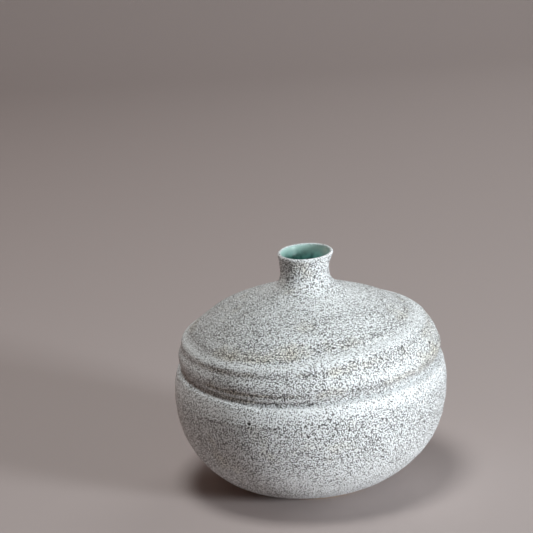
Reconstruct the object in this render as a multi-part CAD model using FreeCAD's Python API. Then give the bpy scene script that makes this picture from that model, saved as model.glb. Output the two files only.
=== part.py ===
"""A squat stoneware bud vase: bowl, dome and neck thrown apart, luted together with slip, then glazed.

Every piece is a figure of revolution about Z. Half sections are drawn in the XZ plane, in millimetres,
with the table at z = 0, and each is turned once round the axis.
"""

import FreeCAD, Part
import math
import os

# Driving dimensions
HEIGHT = 120.2          # table to the top of the lip
BELLY_R = 68.3          # widest radius of the bowl
BELLY_Z = 50.0          # height of the widest point
WALL = 4.4              # thickness at the belly, with both glazes
FLOOR_Z = 7.4           # top of the glazed floor inside
FOOT_R = 29.8           # outer radius of the foot ring
FOOT_WIDTH = 4.6        # width of the ring that stands on the table
FOOT_RECESS = 1.6       # depth of the trimmed hollow inside the foot ring
FOOT_BEVEL = 0.5        # softened edges of the foot ring
GLAZE_LINE_R = 31.0     # the outer glaze stops here, just above the foot
GLAZE_LINE_Z = 1.2
GROOVE_Z = 64.9         # the groove round the shoulder, where bowl and dome were joined
GROOVE_R = 63.6         # radius of the vase at the bottom of the groove
GROOVE_ROUND = 1.0      # radius of curvature of the groove
NECK_Z = 104.0          # joint between dome and neck
NECK_R = 12.2           # outside radius of the narrowest part of the neck
NECK_WAIST_Z = 111.4    # height of that narrowest part
THROAT_R = 9.8          # inside radius there
MOUTH_R = 13.8          # outside radius of the lip
LIP_WALL = 1.7          # thickness of the lip
LIP_FLARE = 72          # slope of the flared lip, in degrees from level
GLAZE = 0.4             # thickness of both glazes
GLAZE_MEETS = 1.0       # the two glazes meet this far below the top of the lip
SLIP = 0.5              # thickness of the slip in each joint

UP = 90                 # headings in the half section, in degrees from straight outward
INWARD = 180
DOWN = 270
FULL_TURN = 360
SECTION_NORMAL = FreeCAD.Vector(0, 1, 0)


def point(r, z):
    """A point of the half section."""
    return FreeCAD.Vector(r, 0, z)


def heading(degrees):
    """A unit step in the half section: 0 leads away from the axis and 90 leads up."""
    angle = math.radians(degrees)
    return FreeCAD.Vector(math.cos(angle), 0, math.sin(angle))


def smooth(points, start, end):
    """A spline through the points, leaving and arriving along the two headings."""
    curve = Part.BSplineCurve()
    curve.interpolate(
        Points=points,
        InitialTangent=heading(start),
        FinalTangent=heading(end),
        Scale=False,
    )
    return curve


def arc(centre, radius, start, end):
    """A circular arc round the centre, from one bearing to another."""
    middle = centre + heading((start + end) / 2) * radius
    return Part.Arc(centre + heading(start) * radius, middle, centre + heading(end) * radius)


def outside_curves():
    """The glazed surface up the outside, over the lip and down to where the two glazes meet."""
    into_groove = 225
    out_of_groove = 150
    groove_centre = point(GROOVE_R + GROOVE_ROUND, GROOVE_Z)
    bowl = smooth(
        [
            point(GLAZE_LINE_R, GLAZE_LINE_Z),
            point(41.3, 5.3),
            point(52.1, 12.7),
            point(61.0, 23.2),
            point(66.3, 35.5),
            point(BELLY_R, BELLY_Z),
            point(68.1, 56.0),
            point(67.4, 60.0),
            point(66.2, 62.9),
            groove_centre + heading(into_groove) * GROOVE_ROUND,
        ],
        start=20,
        end=into_groove - 90,
    )
    groove = arc(groove_centre, GROOVE_ROUND, into_groove, out_of_groove)
    shoulder = smooth(
        [
            groove_centre + heading(out_of_groove) * GROOVE_ROUND,
            point(64.9, 67.2),
            point(65.6, 69.4),
            point(65.5, 71.4),
            point(64.7, 73.4),
            point(63.9, 75.4),
            point(63.3, 77.4),
            point(62.7, 79.4),
            point(61.7, 81.1),
            point(60.3, 82.4),
            point(58.3, 83.4),
            point(56.0, 84.4),
            point(54.1, 85.7),
            point(52.3, 87.1),
            point(49.8, 88.8),
            point(45.4, 91.2),
            point(35.5, 95.3),
            point(26.5, 98.4),
            point(19.2, 101.1),
            point(14.6, NECK_Z),
            point(12.6, 107.2),
            point(NECK_R, NECK_WAIST_Z),
        ],
        start=out_of_groove - 90,
        end=UP,
    )
    lip_round = LIP_WALL / 2
    lip_centre = point(MOUTH_R - lip_round, HEIGHT - lip_round)
    lip_start = lip_centre + heading(LIP_FLARE - 90) * lip_round
    lip_end = lip_centre + heading(LIP_FLARE + 90) * lip_round
    neck = smooth([point(NECK_R, NECK_WAIST_Z), point(12.6, 115.0), lip_start], start=UP, end=LIP_FLARE)
    lip = arc(lip_centre, lip_round, LIP_FLARE - 90, LIP_FLARE + 90)
    below_lip = HEIGHT - GLAZE_MEETS
    slope = math.tan(math.radians(LIP_FLARE))
    mouth = Part.LineSegment(lip_end, point(lip_end.x - (lip_end.z - below_lip) / slope, below_lip))
    return [bowl, groove, shoulder, neck, lip, mouth]


def inside_curves(meeting):
    """The glazed surface from where the glazes meet, down the throat and round the inside to the axis."""
    throat = smooth(
        [meeting, point(10.25, 115.2), point(THROAT_R, NECK_WAIST_Z)],
        start=LIP_FLARE + 180,
        end=DOWN,
    )
    chamber = smooth(
        [
            point(THROAT_R, NECK_WAIST_Z),
            point(10.1, 107.2),
            point(12.2, 102.2),
            point(17.4, 97.8),
            point(25.0, 94.1),
            point(34.0, 90.6),
            point(44.0, 86.0),
            point(53.4, 80.0),
            point(58.4, 74.0),
            point(60.0, 68.0),
            point(61.6, 61.0),
            point(BELLY_R - WALL, BELLY_Z),
            point(62.0, 37.0),
            point(57.2, 26.0),
            point(49.0, 16.6),
            point(38.4, 10.4),
            point(26.0, FLOOR_Z + 0.3),
            point(0, FLOOR_Z),
        ],
        start=DOWN,
        end=INWARD,
    )
    return [throat, chamber]


def under_glaze(curve, samples=48):
    """The curve moved one glaze thickness into the clay, which lies on its left."""
    first = curve.FirstParameter
    step = (curve.LastParameter - first) / (samples - 1)
    moved = []
    for i in range(samples):
        place = curve.value(first + i * step)
        along = curve.tangent(first + i * step)[0]
        moved.append(place + along.cross(SECTION_NORMAL) * GLAZE)
    copy = Part.BSplineCurve()
    copy.interpolate(Points=moved)
    return copy


def half_section(curves):
    """A face bounded by the curves in order, closed by a straight edge wherever they leave a gap."""
    touching = 1e-6
    edges = []
    for here, following in zip(curves, curves[1:] + curves[:1]):
        edges.append(here.toShape())
        end = here.value(here.LastParameter)
        start = following.value(following.FirstParameter)
        if end.distanceToPoint(start) > touching:
            edges.append(Part.makeLine(end, start))
    return Part.Face(Part.Wire(edges))


def glaze_section(curves):
    """The coat between a stretch of the surface and the clay under it."""
    back = []
    for curve in reversed(curves):
        inner = under_glaze(curve)
        inner.reverse()
        back.append(inner)
    return half_section(curves + back)


def clay_section(curves):
    """The whole clay wall under the glazes, with the bare foot ring below."""
    ring_inner_r = FOOT_R - FOOT_WIDTH
    foot = [
        point(0, FOOT_RECESS),
        point(ring_inner_r - FOOT_RECESS, FOOT_RECESS),
        point(ring_inner_r, FOOT_BEVEL),
        point(ring_inner_r + FOOT_BEVEL, 0),
        point(FOOT_R - FOOT_BEVEL, 0),
        point(FOOT_R, FOOT_BEVEL),
        point(GLAZE_LINE_R, GLAZE_LINE_Z),
    ]
    sides = [Part.LineSegment(a, b) for a, b in zip(foot, foot[1:])]
    return half_section([under_glaze(curve) for curve in curves] + sides)


def slice_of(section, low, high):
    """The stretch of a half section between two heights."""
    reach = 2 * BELLY_R
    window = Part.makePlane(reach, high - low, point(0, low), SECTION_NORMAL * -1, heading(0))
    return section.common(window).Faces[0]


def main():
    outside = outside_curves()
    meeting = outside[-1].EndPoint
    inside = inside_curves(meeting)
    clay = clay_section(outside + inside)
    sections = {
        "lower_bowl": slice_of(clay, 0, GROOVE_Z),
        "shoulder_slip": slice_of(clay, GROOVE_Z, GROOVE_Z + SLIP),
        "upper_dome": slice_of(clay, GROOVE_Z + SLIP, NECK_Z),
        "neck_slip": slice_of(clay, NECK_Z, NECK_Z + SLIP),
        "neck": slice_of(clay, NECK_Z + SLIP, HEIGHT),
        "outer_glaze": glaze_section(outside),
        "inner_glaze": glaze_section(inside),
    }
    os.makedirs("parts", exist_ok=True)
    for name, section in sections.items():
        solid = section.revolve(FreeCAD.Vector(0, 0, 0), FreeCAD.Vector(0, 0, 1), FULL_TURN)
        solid.exportStep(f"parts/{name}.step")


main()
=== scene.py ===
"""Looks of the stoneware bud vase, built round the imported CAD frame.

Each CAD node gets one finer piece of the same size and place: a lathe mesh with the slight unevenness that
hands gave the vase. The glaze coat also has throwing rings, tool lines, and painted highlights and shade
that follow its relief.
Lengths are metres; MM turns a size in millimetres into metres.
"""

import math

import bpy
import numpy as np
from mathutils import Matrix, Vector


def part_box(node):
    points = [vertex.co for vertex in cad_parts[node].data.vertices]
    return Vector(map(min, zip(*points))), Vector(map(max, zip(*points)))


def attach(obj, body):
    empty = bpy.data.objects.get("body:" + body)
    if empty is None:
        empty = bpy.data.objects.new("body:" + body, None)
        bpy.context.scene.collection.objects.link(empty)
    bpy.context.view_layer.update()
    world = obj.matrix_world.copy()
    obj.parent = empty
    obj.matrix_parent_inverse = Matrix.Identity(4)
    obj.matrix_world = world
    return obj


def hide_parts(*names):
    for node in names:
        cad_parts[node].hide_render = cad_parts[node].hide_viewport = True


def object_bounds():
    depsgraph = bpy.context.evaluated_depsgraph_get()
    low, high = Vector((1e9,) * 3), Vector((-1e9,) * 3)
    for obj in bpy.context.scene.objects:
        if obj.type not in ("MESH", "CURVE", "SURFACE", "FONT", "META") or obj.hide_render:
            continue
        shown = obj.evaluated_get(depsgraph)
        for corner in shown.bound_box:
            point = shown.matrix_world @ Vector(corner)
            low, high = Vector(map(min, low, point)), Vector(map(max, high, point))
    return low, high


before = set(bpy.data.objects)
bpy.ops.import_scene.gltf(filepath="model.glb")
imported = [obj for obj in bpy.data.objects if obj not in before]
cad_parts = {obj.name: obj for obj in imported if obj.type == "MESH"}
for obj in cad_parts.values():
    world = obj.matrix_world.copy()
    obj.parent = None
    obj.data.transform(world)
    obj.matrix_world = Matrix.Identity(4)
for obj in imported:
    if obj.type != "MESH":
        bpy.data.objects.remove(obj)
cad_low, cad_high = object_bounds()

MM = 0.001

# Heights and radii that the frame gives
HEIGHT = cad_high.z
BELLY_R = cad_high.x
GROOVE_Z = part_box("lower_bowl")[1].z
DOME_LOW_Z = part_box("upper_dome")[0].z
NECK_JOINT_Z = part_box("upper_dome")[1].z
NECK_LOW_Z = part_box("neck")[0].z
GLAZE_LINE_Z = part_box("outer_glaze")[0].z
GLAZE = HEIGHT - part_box("neck")[1].z
LINING_TOP_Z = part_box("inner_glaze")[1].z
LINING_LOW_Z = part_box("inner_glaze")[0].z

# Sizes of the outline that the boxes don't give
BELLY_Z = 50.0 * MM
GLAZE_LINE_R = 31.0 * MM
FOOT_R = 29.8 * MM
FOOT_WIDTH = 4.6 * MM
FOOT_RECESS = 1.6 * MM
FOOT_BEVEL = 0.5 * MM
GROOVE_R = 63.6 * MM
GROOVE_ROUND = 1.0 * MM
NECK_R = 12.2 * MM
NECK_WAIST_Z = 111.4 * MM
THROAT_R = 9.8 * MM
MOUTH_R = 13.8 * MM
LIP_WALL = 1.7 * MM
LIP_FLARE = 72  # degrees from level

# Angles round the vase start at +X and grow towards +Y, so the front is at -90 degrees. A band is four
# heights: where something starts, where it is whole, where it begins to fade and where it has gone.

# The body leans towards +X above its foot. The mouth is pulled the same way, and tilted down at the front.
BODY_LEAN = 1.0 * MM
LEAN_FROM_Z = 20 * MM
LEAN_TO_Z = 75 * MM
MOUTH_PULL = 0.9 * MM
MOUTH_TILT = math.radians(2.0)

# The vase is out of round: a little oval, and a little three-sided with a twist as it goes up
OUT_OF_ROUND = 0.15 * MM
OVAL_TURN = 0.7
THREE_SIDED_TURN = 2.0
THREE_SIDED_TWIST = 4

# The shoulder's two ridges are higher at +X and lower at -X by the drift, lower at the front by the dip, and
# lower again by the sag at one place. The stretch of the outline that moves runs from below the upper ridge
# to above it. What moves is its relief: how far it stands out from the outline smoothed over a reach.
RIDGE_Z = 83.0 * MM
RIDGE_BELOW = 12 * MM
RIDGE_ABOVE = 26 * MM
RIDGE_FADE = 9 * MM
RIDGE_DRIFT = 5.3 * MM
RIDGE_DIP = 1.8 * MM
RIDGE_SAG = 1.6 * MM
SAG_AT = math.radians(-124)
SAG_SPREAD = math.radians(40)
RELIEF_REACH = 7.0 * MM

# The groove is lower at the front by the dip, and waves along the front
GROOVE_BAND = (50 * MM, 60 * MM, 65 * MM, 71 * MM)
GROOVE_DIP = 2.2 * MM
GROOVE_WAVE = 1.2 * MM
WAVES_ROUND = 3
WAVE_AT = math.radians(-57)

# The dome is higher at -X, and the base at +X
DOME_BAND = (86 * MM, 91 * MM, 96 * MM, 104 * MM)
DOME_TILT = 0.9 * MM
BASE_BAND = (0, 6 * MM, 8 * MM, 28 * MM)
BASE_TILT = 1.2 * MM

# Rings that the fingers left: pitch along the wall, height and phase. Each is weaker in places.
FINGER_RINGS = ((6.3 * MM, 0.060 * MM, 0.4), (3.7 * MM, 0.035 * MM, 2.1), (9.1 * MM, 0.050 * MM, 4.0))
RING_CHANGE = 17 * MM
RING_WEAKER = 0.4

# Two fine lines that a tool cut in the groove, and the burr raised between them: each one's height and its
# share of the depth
TOOL_LINES = ((65.6 * MM, 1.0), (66.9 * MM, -0.8), (68.1 * MM, 1.0))
TOOL_LINE_DEPTH = 0.25 * MM
TOOL_LINE_WIDTH = 0.45 * MM
# Painted shade in the cut lines and a painted highlight on the burr between them
TOOL_LINE_SHADE = 0.6
TOOL_LINES_AT = math.radians(-118)
TOOL_LINES_SPREAD = math.radians(30)

# tone_and_painted_light is 0.5 on even ground, higher where the glaze is whiter or painted light falls, and
# lower in the painted shade of the hollows, where the rust stains gather. Painted highlights follow the
# ledges, which are the ridges' upper sides, and the relief. Outside the tool lines it stays over the darkest
# level, which is lower at +X.
EVEN_TONE = 0.5
LEDGE_REACH = 1.6 * MM
LEDGE_FULL = 0.30
STEEPEST_LEDGE = 0.30
RELIEF_FULL = 3.0 * MM
RIDGE_TONE_FROM_Z = 88 * MM
RIDGE_TONE_GONE_Z = 96 * MM
# The deepest painted shade, and how much deeper it goes at +X
DARKEST_TONE = 0.30
DARKEST_CHANGE = 0.1

# Paler places: the lip, and a lighter band on the collar under it. Painted light: on the lit front right of
# the foot and in the groove, and a painted highlight on the bowl's shoulder
PALE_LIP_Z = HEIGHT - 1.4 * MM
PALE_COLLAR = 0.15
COLLAR_BAND = (94 * MM, 98 * MM, 108 * MM, 113 * MM)
FOOT_PAINTED_LIGHT = 0.45
FOOT_PAINTED_LIGHT_Z = 10 * MM
FOOT_PAINTED_LIGHT_GONE_Z = 40 * MM
# The lit side, where the foot and the groove get painted light
PAINTED_LIGHT_SIDE = math.radians(-60)
PAINTED_LIGHT_SIDE_SPREAD = math.radians(75)
BOWL_TONE_TOP_Z = GROOVE_Z - 1.5 * MM
BOWL_SHOULDER_Z = 59.0 * MM
BOWL_SHOULDER_REACH = 4.0 * MM
# How bright the painted highlight on the bowl's shoulder is
BOWL_SHOULDER_HIGHLIGHT = 0.7
GROOVE_REACH = 3.5 * MM
# Painted light in the groove on the lit side
GROOVE_PAINTED_LIGHT = 0.3

# The lower ridge has a painted highlight on one stretch only, is faint elsewhere, and has painted shade most
# of all at +X
LOW_RIDGE_Z = 71.5 * MM
LOW_RIDGE_REACH = 4.0 * MM
LOW_RIDGE_AT = math.radians(-58)
LOW_RIDGE_SPREAD = math.radians(32)
LOW_RIDGE_FAINT = 0.1
# Painted shade on the lower ridge at +X
LOW_RIDGE_SHADE_RIGHT = 0.6

# Pinholes in the glaze: azimuth in degrees and height
PINHOLES = ((-117, 54.5 * MM), (-22, 76.4 * MM))
PINHOLE_R = 1.0 * MM

# Headings in the half section, in degrees from straight outward
UP, INWARD, DOWN = 90, 180, 270

# Fineness of the meshes: segments round the vase, points of an arc, spacing along the other lines, and the
# angle from which an edge is sharp
SEGMENTS = 240
ARC_POINTS = 10
FINE = 0.6 * MM
MEDIUM = 1.0 * MM
COARSE = 3.0 * MM
SHARP_ANGLE = math.radians(38)


# ---------------------------------------------------------------- the outline


def point(r, z):
    """A point of the half section, given in millimetres."""
    return np.array([r, z]) * MM


def heading(degrees):
    """A unit step in the half section: 0 leads away from the axis and 90 leads up."""
    angle = math.radians(degrees)
    return np.array([math.cos(angle), math.sin(angle)])


def smooth(points, start, end, spacing):
    """A cubic spline through the points, leaving and arriving along the two headings."""
    p = np.array(points)
    runs = np.linalg.norm(np.diff(p, axis=0), axis=1)
    count = len(p)
    system = np.zeros((count, count))
    known = np.zeros((count, 2))
    system[0, 0] = system[-1, -1] = 1
    known[0], known[-1] = heading(start), heading(end)
    for i in range(1, count - 1):
        before, after = runs[i - 1], runs[i]
        system[i, i - 1 : i + 2] = after, 2 * (before + after), before
        known[i] = 3 * (after / before * (p[i] - p[i - 1]) + before / after * (p[i + 1] - p[i]))
    slopes = np.linalg.solve(system, known)
    line = [p[:1]]
    for i, run in enumerate(runs):
        t = np.linspace(0, 1, max(2, math.ceil(run / spacing) + 1))[1:, None]
        line.append(
            (1 + 2 * t) * (1 - t) ** 2 * p[i]
            + t * (1 - t) ** 2 * run * slopes[i]
            + t**2 * (3 - 2 * t) * p[i + 1]
            + t**2 * (t - 1) * run * slopes[i + 1]
        )
    return np.vstack(line)


def arc(centre, radius, start, end):
    """A circular arc round the centre, from one bearing to another."""
    return np.array([centre + heading(a) * radius for a in np.linspace(start, end, ARC_POINTS)])


def outside_line(spacing):
    """The glazed surface up the outside, over the lip and down to where the two glazes meet."""
    from_foot, into_groove, out_of_groove = 20, 225, 150
    groove_centre = np.array([GROOVE_R + GROOVE_ROUND, GROOVE_Z])
    groove = arc(groove_centre, GROOVE_ROUND, into_groove, out_of_groove)
    bowl = smooth(
        [
            (GLAZE_LINE_R, GLAZE_LINE_Z),
            point(41.3, 5.3),
            point(52.1, 12.7),
            point(61.0, 23.2),
            point(66.3, 35.5),
            (BELLY_R, BELLY_Z),
            point(68.1, 56.0),
            point(67.4, 60.0),
            point(66.2, 62.9),
            groove[0],
        ],
        from_foot,
        into_groove - 90,
        spacing,
    )
    shoulder = smooth(
        [
            groove[-1],
            point(64.9, 67.2),
            point(65.6, 69.4),
            point(65.5, 71.4),
            point(64.7, 73.4),
            point(63.9, 75.4),
            point(63.3, 77.4),
            point(62.7, 79.4),
            point(61.7, 81.1),
            point(60.3, 82.4),
            point(58.3, 83.4),
            point(56.0, 84.4),
            point(54.1, 85.7),
            point(52.3, 87.1),
            point(49.8, 88.8),
            point(45.4, 91.2),
            point(35.5, 95.3),
            point(26.5, 98.4),
            point(19.2, 101.1),
            (14.6 * MM, NECK_JOINT_Z),
            point(12.6, 107.2),
            (NECK_R, NECK_WAIST_Z),
        ],
        out_of_groove - 90,
        UP,
        spacing,
    )
    lip_round = LIP_WALL / 2
    lip_centre = np.array([MOUTH_R - lip_round, HEIGHT - lip_round])
    lip = arc(lip_centre, lip_round, LIP_FLARE - 90, LIP_FLARE + 90)
    neck = smooth([(NECK_R, NECK_WAIST_Z), point(12.6, 115.0), lip[0]], UP, LIP_FLARE, spacing)
    drop = lip[-1][1] - LINING_TOP_Z
    meeting = np.array([lip[-1][0] - drop / math.tan(math.radians(LIP_FLARE)), LINING_TOP_Z])
    return np.vstack([bowl[:-1], groove[:-1], shoulder[:-1], neck[:-1], lip, [meeting]])


def inside_line(meeting, spacing):
    """The glazed surface from where the glazes meet, down the throat and round the inside to the axis."""
    floor_z = LINING_LOW_Z + GLAZE
    throat = smooth(
        [meeting, point(10.25, 115.2), (THROAT_R, NECK_WAIST_Z)], LIP_FLARE + 180, DOWN, spacing
    )
    chamber = smooth(
        [
            (THROAT_R, NECK_WAIST_Z),
            point(10.1, 107.2),
            point(12.2, 102.2),
            point(17.4, 97.8),
            point(25.0, 94.1),
            point(34.0, 90.6),
            point(44.0, 86.0),
            point(53.4, 80.0),
            point(58.4, 74.0),
            point(60.0, 68.0),
            point(61.6, 61.0),
            point(63.9, 50.0),
            point(62.0, 37.0),
            point(57.2, 26.0),
            point(49.0, 16.6),
            point(38.4, 10.4),
            (26.0 * MM, floor_z + 0.3 * MM),
            (0, floor_z),
        ],
        DOWN,
        INWARD,
        spacing,
    )
    return np.vstack([throat[:-1], chamber])


def out_of_clay(line):
    """Unit normals of a line of the glazed surface, pointing out of the clay."""
    along = np.gradient(line, axis=0)
    along /= np.linalg.norm(along, axis=1)[:, None]
    return np.column_stack([along[:, 1], -along[:, 0]])


def under_glaze(line):
    """The clay surface under a line of the glazed surface."""
    under = line - out_of_clay(line) * GLAZE
    under[:, 0] = np.maximum(under[:, 0], 0)
    return under


def between(line, low, high):
    """The points of a line between two heights, with its ends cut exactly at those heights."""
    kept = []
    for here, after in zip(line, line[1:]):
        if low <= here[1] <= high:
            kept.append(here)
        rise = after[1] - here[1]
        shares = [(level - here[1]) / rise for level in (low, high) if rise]
        kept += [here + share * (after - here) for share in sorted(shares) if 0 < share < 1]
    if low <= line[-1][1] <= high:
        kept.append(line[-1])
    return np.array(kept)


# ---------------------------------------------------------------- hand-made unevenness


def ease(t):
    """0 below 0, 1 above 1, and smooth between."""
    t = np.clip(t, 0, 1)
    return t * t * (3 - 2 * t)


def fade(place, start, end):
    """0 at the start and before it, 1 at the end and past it, whichever of the two is higher."""
    return ease((place - start) / (end - start))


def band(place, start, whole, fading, gone):
    """0 outside the start and where it has gone, 1 in the middle, and smooth between."""
    return fade(place, start, whole) * fade(place, gone, fading)


def hump(place, middle, reach):
    """1 at the middle, falling away on both sides of it."""
    return np.exp(-(((place - middle) / reach) ** 2))


def near(angle, middle, spread):
    """1 where the angle is the middle one, falling to 0 where it is the spread away."""
    return fade(np.cos(angle - middle), math.cos(spread), 1)


def wave(angle):
    """An uneven rise and fall along the front, between -1 and 1."""
    return np.cos(WAVES_ROUND * (angle - WAVE_AT)) * np.minimum(np.sin(angle), 0) ** 2


def tool_line(z, angle, height):
    """How much of a tool line at the height there is at each place, from 0 to 1."""
    stretch = ease(2 * near(angle, TOOL_LINES_AT, TOOL_LINES_SPREAD))
    return hump(z, height, TOOL_LINE_WIDTH) * stretch


def lengths(line):
    """How far along the line each of its points is."""
    return np.concatenate([[0], np.cumsum(np.linalg.norm(np.diff(line, axis=0), axis=1))])


def throwing_rings(line, angles):
    """How far the rings that the fingers left stand out, at each point of the line and each angle."""
    along = lengths(line)[:, None]
    turn = angles[None, :]
    rings = np.zeros((len(line), len(angles)))
    for pitch, height, phase in FINGER_RINGS:
        strength = 1 - RING_WEAKER * (1 - np.sin(along / RING_CHANGE + 2 * turn + phase))
        rings += height * strength * np.sin(2 * math.pi * along / pitch - turn + phase)
    for height, share in TOOL_LINES:
        rings -= TOOL_LINE_DEPTH * share * tool_line(line[:, 1:2], turn, height)
    return rings


def smoothed(values, along, reach):
    """The mean of the values round each place along a line."""
    weights = hump(along[:, None], along[None, :], reach) * np.gradient(along)[None, :]
    weights /= weights.sum(axis=1)[:, None]
    return weights @ values


def relief(line, reach):
    """How far each point stands out from the smoothed line: over 0 on ridges, under 0 in hollows."""
    return ((line - smoothed(line, lengths(line), reach)) * out_of_clay(line)).sum(axis=1)


def outside_to_the_top():
    """The glazed surface up the outside, as far as the top of the lip."""
    line = outside_line(FINE)
    return line[: np.argmax(line[:, 1]) + 1]


def pale_places_and_painted_light(z, angle):
    """How much whiter the glaze is on the lip, how much lighter the collar is, and the painted light on the
    lit front right of the foot.
    """
    lip = fade(z, PALE_LIP_Z, PALE_LIP_Z + LIP_WALL)
    collar = PALE_COLLAR * band(z, *COLLAR_BAND)
    # Painted light on the lit front right of the foot
    foot = FOOT_PAINTED_LIGHT * near(angle, PAINTED_LIGHT_SIDE, PAINTED_LIGHT_SIDE_SPREAD) * fade(z, FOOT_PAINTED_LIGHT_GONE_Z, FOOT_PAINTED_LIGHT_Z)
    return lip + collar + foot


def shoulder_ridges():
    """Two functions of height and angle, for ridges that aren't at the same height all round.

    The first gives how far out and how far up the surface moves. The second gives tone_and_painted_light:
    how white the glaze is, with painted highlights on the ridges' crests and ledges and painted shade in the
    hollows.
    """
    line = outside_to_the_top()
    heights, along, normals = line[:, 1], lengths(line), out_of_clay(line)
    still = relief(line, RELIEF_REACH)
    ledge = np.clip(-np.gradient(still, along), -STEEPEST_LEDGE, STEEPEST_LEDGE)
    ledge = smoothed(ledge, along, LEDGE_REACH)
    ridge_at, low_ridge_at = np.interp((RIDGE_Z, LOW_RIDGE_Z), heights, along)
    low, high = ridge_at - RIDGE_BELOW, ridge_at + RIDGE_ABOVE

    def source(z, angle):
        """How far along the outline a height is, and how far along it the relief found there comes from."""
        place = np.interp(z, heights, along)
        higher = RIDGE_DRIFT * np.cos(angle) + RIDGE_DIP * np.sin(angle)
        higher = higher - RIDGE_SAG * near(angle, SAG_AT, SAG_SPREAD)
        return place, place - higher * band(place, low, low + RIDGE_FADE, high - RIDGE_FADE, high)

    def shift(z, angle):
        place, origin = source(z, angle)
        step = np.interp(origin, along, still) - np.interp(place, along, still)
        return step * np.interp(z, heights, normals[:, 0]), step * np.interp(z, heights, normals[:, 1])

    def tone_and_painted_light(z, angle):
        origin = source(z, angle)[1]
        # Painted highlights on the ledges and crests of the relief, and painted shade in its hollows
        ridges = np.interp(origin, along, ledge) / LEDGE_FULL + np.interp(origin, along, still) / RELIEF_FULL
        # The lower ridge keeps its painted highlight only on one lit stretch, and gets painted shade at +X
        elsewhere = 1 - near(angle, LOW_RIDGE_AT, LOW_RIDGE_SPREAD)
        hidden = hump(origin, low_ridge_at, LOW_RIDGE_REACH) * elsewhere
        ridges = ridges * (1 - hidden * (1 - LOW_RIDGE_FAINT))
        ridges = ridges - LOW_RIDGE_SHADE_RIGHT * hidden * np.maximum(np.cos(angle), 0)
        # A painted highlight on the bowl's shoulder
        bowl = BOWL_SHOULDER_HIGHLIGHT * hump(z, BOWL_SHOULDER_Z, BOWL_SHOULDER_REACH)
        ridges = np.where(z < BOWL_TONE_TOP_Z, bowl, ridges) * fade(z, RIDGE_TONE_GONE_Z, RIDGE_TONE_FROM_Z)
        # The deepest painted shade, deeper at +X
        darkest = DARKEST_TONE - DARKEST_CHANGE * np.cos(angle)
        ground = np.clip(EVEN_TONE * (1 + ridges) + pale_places_and_painted_light(z, angle), darkest, 1)
        # Painted light in the groove on the lit side
        groove = GROOVE_PAINTED_LIGHT * near(angle, PAINTED_LIGHT_SIDE, PAINTED_LIGHT_SIDE_SPREAD) * hump(z, GROOVE_Z, GROOVE_REACH)
        # Painted shade in the tool lines, and a painted highlight on the burr between them
        lines = sum(share * tool_line(z, angle, height) for height, share in TOOL_LINES)
        return ground + groove - TOOL_LINE_SHADE * lines

    return shift, tone_and_painted_light


ridge_shift, glaze_tone_and_painted_light = shoulder_ridges()


def wobble(points):
    """Every point moved a little, the same way for every piece, and not at all at the foot."""
    x, y, z = points.T
    angle = np.arctan2(y, x)
    out, up = ridge_shift(z, angle)
    three_sided = np.cos(3 * angle + THREE_SIDED_TURN + THREE_SIDED_TWIST * z / HEIGHT)
    bulge = OUT_OF_ROUND * (np.cos(2 * angle + OVAL_TURN) + three_sided)
    grown = 1 + fade(z, 0, BELLY_Z) * bulge / BELLY_R
    mouth = fade(z, NECK_WAIST_Z, HEIGHT)
    aside = BODY_LEAN * fade(z, LEAN_FROM_Z, LEAN_TO_Z) + MOUTH_PULL * mouth
    groove = (GROOVE_DIP * np.sin(angle) + GROOVE_WAVE * wave(angle)) * band(z, *GROOVE_BAND)
    dome = -DOME_TILT * np.cos(angle) * band(z, *DOME_BAND)
    base = BASE_TILT * x / BELLY_R * band(z, *BASE_BAND)
    tilt = y * math.tan(MOUTH_TILT) * mouth
    moved_x = x * grown + out * np.cos(angle) + aside
    moved_y = y * grown + out * np.sin(angle)
    return np.column_stack([moved_x, moved_y, z + up + groove + dome + base + tilt])


def on_surface(azimuth, height):
    """The place on the finished outside at an azimuth in degrees and a height."""
    line = outside_to_the_top()
    radius = np.interp(height, line[:, 1], line[:, 0])
    return wobble(np.array([[*(heading(azimuth) * radius), height]]))[0]


# ---------------------------------------------------------------- meshes


def round_angles():
    """The angle of each segment round the vase."""
    return np.arange(SEGMENTS) * 2 * math.pi / SEGMENTS


def lathe(name, line, closed, detail=None):
    """A mesh turned round the axis from a line drawn up the outside and down the inside.

    A closed line is a ring's section; an open one starts and ends on the axis. detail gives how far each
    point stands out along the section's normal, one row for each point of the line.
    """
    angles = round_angles()
    radius = np.repeat(line[:, 0:1], SEGMENTS, axis=1)
    height = np.repeat(line[:, 1:2], SEGMENTS, axis=1)
    if detail is not None:
        normals = out_of_clay(line)
        radius = radius + detail * normals[:, 0:1]
        height = height + detail * normals[:, 1:2]
    rows = list(range(len(line)))
    if not closed:
        rows = rows[1:-1]
    xyz = np.stack([radius * np.cos(angles), radius * np.sin(angles), height], axis=-1)[rows]
    points = xyz.reshape(-1, 3)
    count = len(rows)
    faces = []
    for i in range(count if closed else count - 1):
        here, above = i * SEGMENTS, (i + 1) % count * SEGMENTS
        for j in range(SEGMENTS):
            k = (j + 1) % SEGMENTS
            faces.append((here + j, here + k, above + k, above + j))
    if not closed:
        first, last = len(points), len(points) + 1
        points = np.vstack([points, [[0, 0, line[0][1]], [0, 0, line[-1][1]]]])
        top = (count - 1) * SEGMENTS
        for j in range(SEGMENTS):
            k = (j + 1) % SEGMENTS
            faces.append((first, k, j))
            faces.append((last, top + j, top + k))
    mesh = bpy.data.meshes.new(name)
    mesh.from_pydata(wobble(points).tolist(), [], faces)
    mesh.validate()
    mesh.shade_smooth()
    mesh.set_sharp_from_angle(angle=SHARP_ANGLE)
    piece = bpy.data.objects.new(name, mesh)
    bpy.context.scene.collection.objects.link(piece)
    return piece


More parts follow.
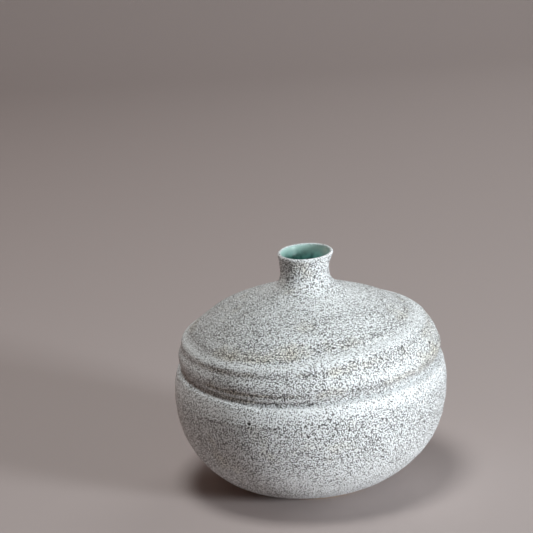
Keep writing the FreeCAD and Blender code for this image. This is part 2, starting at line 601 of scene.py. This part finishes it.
def dress(piece, node, material):
    """The piece takes the place of a CAD node, with its material."""
    piece.data.materials.append(material)
    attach(piece, "root")
    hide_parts(node)


# ---------------------------------------------------------------- materials


def new_material(name):
    """A material, and its shader."""
    material = bpy.data.materials.new(name)
    material.use_nodes = True
    return material, material.node_tree.nodes["Principled BSDF"]


def add_node(material, kind, **inputs):
    """A node of the kind, with each named input joined to a socket or set to a value."""
    node = material.node_tree.nodes.new(kind)
    for name, value in inputs.items():
        if isinstance(value, bpy.types.NodeSocket):
            material.node_tree.links.new(value, node.inputs[name])
        else:
            node.inputs[name].default_value = value
    return node


def attribute(material, name):
    """A value that the mesh stores at each point."""
    node = add_node(material, "ShaderNodeAttribute")
    node.attribute_name = name
    return node.outputs["Fac"]


def object_place(material):
    """The place on the object, in metres."""
    return add_node(material, "ShaderNodeTexCoord").outputs["Object"]


def noise(material, grain, detail, roughness=0.5, stretch=(1, 1, 1)):
    """Noise whose features are about one grain apart, or further along an axis whose stretch is low."""
    place = add_node(material, "ShaderNodeMapping", Vector=object_place(material), Scale=stretch)
    texture = add_node(
        material,
        "ShaderNodeTexNoise",
        Vector=place.outputs["Vector"],
        Scale=1 / grain,
        Detail=detail,
        Roughness=roughness,
    )
    return texture.outputs["Fac"]


def ramp(material, source, stops):
    """A colour ramp over the stops, each a position and a grey or a colour."""
    node = add_node(material, "ShaderNodeValToRGB", Fac=source)
    elements = node.color_ramp.elements
    while len(elements) < len(stops):
        elements.new(0.5)
    for element, (position, colour) in zip(elements, stops):
        element.position = position
        element.color = (*colour, 1) if isinstance(colour, tuple) else (colour, colour, colour, 1)
    return node.outputs["Color"]


def mix(material, share, first, second, blend="MIX"):
    """A colour socket turned by the share into a second colour."""
    node = add_node(material, "ShaderNodeMix")
    node.data_type = "RGBA"
    node.blend_type = blend
    factor, a_colour, b_colour = node.inputs[0], node.inputs[6], node.inputs[7]
    material.node_tree.links.new(share, factor)
    material.node_tree.links.new(first, a_colour)
    b_colour.default_value = (*second, 1)
    return node.outputs[2]


def plus(material, source, factor, base=None):
    """The source times a factor, added to the base if there is one."""
    node = add_node(material, "ShaderNodeMath")
    node.operation = "MULTIPLY_ADD"
    material.node_tree.links.new(source, node.inputs[0])
    node.inputs[1].default_value = factor
    if base is None:
        node.inputs[2].default_value = 0
    else:
        material.node_tree.links.new(base, node.inputs[2])
    return node.outputs[0]


def finish_material(material, shader, colour, roughness, height=None, depth=0, strength=1.0):
    """The shader's colour and roughness, and a bump as deep as given where there is a height."""
    material.node_tree.links.new(colour, shader.inputs["Base Color"])
    shader.inputs["Roughness"].default_value = roughness
    if height is not None:
        bump = add_node(material, "ShaderNodeBump", Height=height, Distance=depth, Strength=strength)
        material.node_tree.links.new(bump.outputs["Normal"], shader.inputs["Normal"])


def grain_colour(material, tone_and_painted_light, grains):
    """Fine dark and pale grains, with more pale ones where tone_and_painted_light is high."""
    tone_and_light_weight, cloud_weight, line_weight = 0.13, 0.07, 0.07
    dark, middling = (0.042, 0.039, 0.037), (0.22, 0.21, 0.205)
    pale, white = (0.605, 0.61, 0.605), (0.93, 0.95, 0.96)
    clouds = noise(material, 14 * MM, detail=3.0)
    lines = noise(material, 1.3 * MM, detail=2.0, stretch=(0.05, 0.05, 1))
    level = plus(material, tone_and_painted_light, tone_and_light_weight, grains)
    level = plus(material, clouds, cloud_weight, level)
    level = plus(material, lines, line_weight, level)
    return ramp(material, level, [(0.515, dark), (0.57, middling), (0.63, pale), (0.685, white)])


def rust_stains(material, tone_and_painted_light, colour):
    """The colour turned rusty in patches, most of them where tone_and_painted_light is low."""
    tone_and_light_weight, rust_tint = -0.45, (0.96, 0.91, 0.82)
    patches = noise(material, 22 * MM, detail=4.0, roughness=0.6)
    rusty = plus(material, tone_and_painted_light, tone_and_light_weight, patches)
    rust = ramp(material, rusty, [(0.31, 0.0), (0.52, 1.0)])
    return mix(material, rust, colour, rust_tint, "MULTIPLY")


def pinhole(material, azimuth, height, colour):
    """The colour with a small black pit at the azimuth and height: painted shade inside a pinhole."""
    # Painted shade inside the pit
    pinhole_shade_colour = (0.012, 0.011, 0.01)
    rim, flat_share = 0.5, 0.7
    away = add_node(material, "ShaderNodeVectorMath")
    away.operation = "DISTANCE"
    material.node_tree.links.new(object_place(material), away.inputs[0])
    away.inputs[1].default_value = on_surface(azimuth, height)
    spread = plus(material, away.outputs["Value"], rim / PINHOLE_R)
    pit = ramp(material, spread, [(rim * flat_share, 1.0), (rim, 0.0)])
    return mix(material, pit, colour, pinhole_shade_colour)


def speckled_glaze():
    """A dry, pale grey glaze packed with fine grains, with rusty stains, pinholes and a teal inner lip.

    The mesh's attribute "tone_and_painted_light" says how white the glaze is and carries painted highlights
    and shade, and "inner" is 1 on the inner side of the lip.
    """
    teal = (0.40, 0.56, 0.52)
    material, shader = new_material("speckled_glaze")
    tone_and_painted_light = attribute(material, "tone_and_painted_light")
    grains = noise(material, 0.64 * MM, detail=1.0)
    colour = grain_colour(material, tone_and_painted_light, grains)
    colour = rust_stains(material, tone_and_painted_light, colour)
    colour = mix(material, attribute(material, "inner"), colour, teal)
    for azimuth, height in PINHOLES:
        colour = pinhole(material, azimuth, height, colour)
    finish_material(material, shader, colour, 0.6, grains, 0.5 * MM)
    return material


def turquoise_glaze():
    """A glossy mottled turquoise, paler just under the lip."""
    deep_teal, mid_teal, pale_teal = (0.03, 0.16, 0.15), (0.16, 0.44, 0.39), (0.36, 0.52, 0.47)
    pale_from_z, pale_all_z = HEIGHT - 6 * MM, HEIGHT - 1 * MM
    material, shader = new_material("turquoise_glaze")
    clouds = noise(material, 3.0 * MM, detail=5.0, roughness=0.6)
    mottled = ramp(material, clouds, [(0.38, deep_teal), (0.62, mid_teal)])
    parts = add_node(material, "ShaderNodeSeparateXYZ", Vector=object_place(material))
    height = add_node(material, "ShaderNodeMapRange", Value=parts.outputs["Z"])
    height.inputs["From Min"].default_value = pale_from_z
    height.inputs["From Max"].default_value = pale_all_z
    colour = mix(material, height.outputs["Result"], mottled, pale_teal)
    finish_material(material, shader, colour, 0.28)
    return material


def bare_stoneware():
    """Sandy fired clay."""
    pit, clay, sand_grain = (0.13, 0.085, 0.055), (0.36, 0.26, 0.18), (0.50, 0.38, 0.27)
    material, shader = new_material("bare_stoneware")
    sand = noise(material, 0.9 * MM, detail=3.0)
    colour = ramp(material, sand, [(0.30, pit), (0.45, clay), (0.65, sand_grain)])
    finish_material(material, shader, colour, 0.9, sand, 0.12 * MM, 0.6)
    return material


# ---------------------------------------------------------------- the pieces


def store(piece, name, values):
    """Keeps a value at each point of the piece, for its material."""
    attribute_data = piece.data.attributes.new(name, "FLOAT", "POINT").data
    attribute_data.foreach_set("value", values.ravel())


def make_coat(outside, clay_outside, material):
    """The speckled glaze, whose colour changes to the lining's over the lip."""
    points_to_change = 5
    line = np.vstack([outside, clay_outside[::-1]])
    angles = round_angles()
    plain_back = np.zeros((len(clay_outside), SEGMENTS))
    coat = lathe("speckled_coat", line, True, np.vstack([throwing_rings(outside, angles), plain_back]))
    store(coat, "tone_and_painted_light", glaze_tone_and_painted_light(line[:, 1:2], angles[None, :]))
    order = np.arange(len(line))
    inner = ease((order - np.argmax(line[:, 1])) / points_to_change) * (order < len(outside))
    store(coat, "inner", np.repeat(inner, SEGMENTS))
    dress(coat, "outer_glaze", material)


def foot_line():
    """The bare foot, from the axis out over its ring to the glaze line."""
    ring_inner_r = FOOT_R - FOOT_WIDTH
    return [
        (0, FOOT_RECESS),
        (ring_inner_r - FOOT_RECESS, FOOT_RECESS),
        (ring_inner_r, FOOT_BEVEL),
        (ring_inner_r + FOOT_BEVEL, 0),
        (FOOT_R - FOOT_BEVEL, 0),
        (FOOT_R, FOOT_BEVEL),
        (GLAZE_LINE_R, GLAZE_LINE_Z),
    ]


def make_clay(clay_outside, clay_inside, material):
    """The bowl, the dome, the neck and the slip between them, each a stretch of the clay wall."""
    wall = [between(clay_outside, 0, GROOVE_Z), between(clay_inside, 0, GROOVE_Z)]
    bowl = lathe("thrown_bowl", np.vstack([foot_line(), *wall]), False)
    dress(bowl, "lower_bowl", material)
    rings = (
        ("shoulder_slip_ring", "shoulder_slip", "joining_slip", GROOVE_Z, DOME_LOW_Z),
        ("thrown_dome", "upper_dome", "bare_stoneware", DOME_LOW_Z, NECK_JOINT_Z),
        ("neck_slip_ring", "neck_slip", "joining_slip", NECK_JOINT_Z, NECK_LOW_Z),
        ("thrown_neck", "neck", "bare_stoneware", NECK_LOW_Z, HEIGHT),
    )
    for name, node, slot, low, high in rings:
        wall = [between(clay_outside, low, high), between(clay_inside, low, high)]
        dress(lathe(name, np.vstack(wall), True), node, material)


def make_vase():
    """All seven pieces: the two glazes, then the clay and the slip under them."""
    outside = outside_line(FINE)
    inside = inside_line(outside[-1], MEDIUM)
    clay_outside = under_glaze(outside_line(COARSE))
    clay_inside = under_glaze(inside_line(outside[-1], COARSE))
    glaze, lining, clay = speckled_glaze(), turquoise_glaze(), bare_stoneware()
    make_coat(outside, clay_outside, glaze)
    lining_line = np.vstack([clay_inside[::-1], inside])
    dress(lathe("turquoise_lining", lining_line, False), "inner_glaze", lining)
    make_clay(clay_outside, clay_inside, clay)


# ---------------------------------------------------------------- floor, light and camera


def area_light(name, at, target, size, power, colour):
    """A soft rectangular lamp at a place, facing a target."""
    data = bpy.data.lights.new(name, "AREA")
    data.shape = "RECTANGLE"
    data.size, data.size_y = size
    data.energy = power
    data.color = colour
    lamp = bpy.data.objects.new(name, data)
    lamp.location = at
    lamp.rotation_euler = (Vector(target) - Vector(at)).to_track_quat("-Z", "Y").to_euler()
    bpy.context.scene.collection.objects.link(lamp)


def make_stage():
    """A plain pale floor that curves up behind the vase."""
    half, front, back, rise, bend, bend_steps = 3.0, -3.0, 1.6, 2.2, 0.6, 15
    line = [(front, 0.0)]
    for angle in np.linspace(-math.pi / 2, 0, bend_steps + 1):
        line.append((back - bend + bend * math.cos(angle), bend + bend * math.sin(angle)))
    line.append((back, rise))
    points = [(side * half, y, z) for y, z in line for side in (-1, 1)]
    faces = [(2 * i, 2 * i + 1, 2 * i + 3, 2 * i + 2) for i in range(len(line) - 1)]
    mesh = bpy.data.meshes.new("floor")
    mesh.from_pydata(points, [], faces)
    mesh.shade_smooth()
    floor = bpy.data.objects.new("floor", mesh)
    bpy.context.scene.collection.objects.link(floor)
    material, shader = new_material("floor")
    shader.inputs["Base Color"].default_value = (0.46, 0.39, 0.375, 1)
    shader.inputs["Roughness"].default_value = 0.9
    mesh.materials.append(material)


def make_light():
    """A low window at the front right, soft lamps behind on both sides and overhead, and a dim warm room."""
    # name, azimuth from +X and elevation in degrees, size, power, colour
    lamps = (
        ("window", -37, 9, (0.24, 0.24), 18.3, (0.89, 0.96, 1.0)),
        ("behind_right", 60, 35, (0.7, 0.6), 2.7, (0.97, 1.0, 1.0)),
        ("behind_left", 150, 15, (0.6, 0.5), 0.9, (1.0, 0.52, 0.34)),
        ("overhead", -120, 80, (0.4, 0.4), 8.2, (0.95, 1.0, 1.0)),
    )
    centre = Vector((0, 0, HEIGHT / 2))
    away = 1.3
    for name, azimuth, elevation, size, power, colour in lamps:
        across, up = math.radians(azimuth), math.radians(elevation)
        step = Vector((math.cos(up) * math.cos(across), math.cos(up) * math.sin(across), math.sin(up)))
        area_light(name, centre + step * away, centre, size, power, colour)
    world = bpy.data.worlds.new("world")
    world.use_nodes = True
    background = world.node_tree.nodes["Background"]
    background.inputs["Color"].default_value = (1.0, 0.86, 0.76, 1)
    background.inputs["Strength"].default_value = 0.05
    bpy.context.scene.world = world
    bpy.context.scene.view_settings.view_transform = "Standard"


def make_camera():
    """A long lens on the -Y side, looking down 19 degrees and turned a little about its own axis."""
    elevation, roll = math.radians(19.0), math.radians(-3.89)
    distance, lens, sensor = 1.2, 160.8, 36.0
    target_z = 56.75 * MM
    data = bpy.data.cameras.new("camera")
    data.lens = lens
    data.sensor_width = sensor
    data.dof.use_dof = False
    data.clip_start = 0.05
    camera = bpy.data.objects.new("camera", data)
    bpy.context.scene.collection.objects.link(camera)
    seen = Vector((0, 0, target_z))
    back = Vector((0, -math.cos(elevation), math.sin(elevation)))
    camera.location = seen + back * distance
    # The vase stands right of and below the middle of the picture, by these shares of its width.
    right_share, down_share = 0.0805, 0.1979
    spread = sensor / lens
    level = back.to_track_quat("Z", "Y").to_matrix()
    turned = level @ Matrix.Rotation(roll, 3, "Z")
    aim = turned @ Vector((-right_share * spread, down_share * spread, -1))
    look = (-aim).to_track_quat("Z", "Y").to_matrix() @ Matrix.Rotation(roll, 3, "Z")
    camera.rotation_euler = look.to_euler()
    bpy.context.scene.camera = camera


make_camera()
make_vase()
make_stage()
make_light()
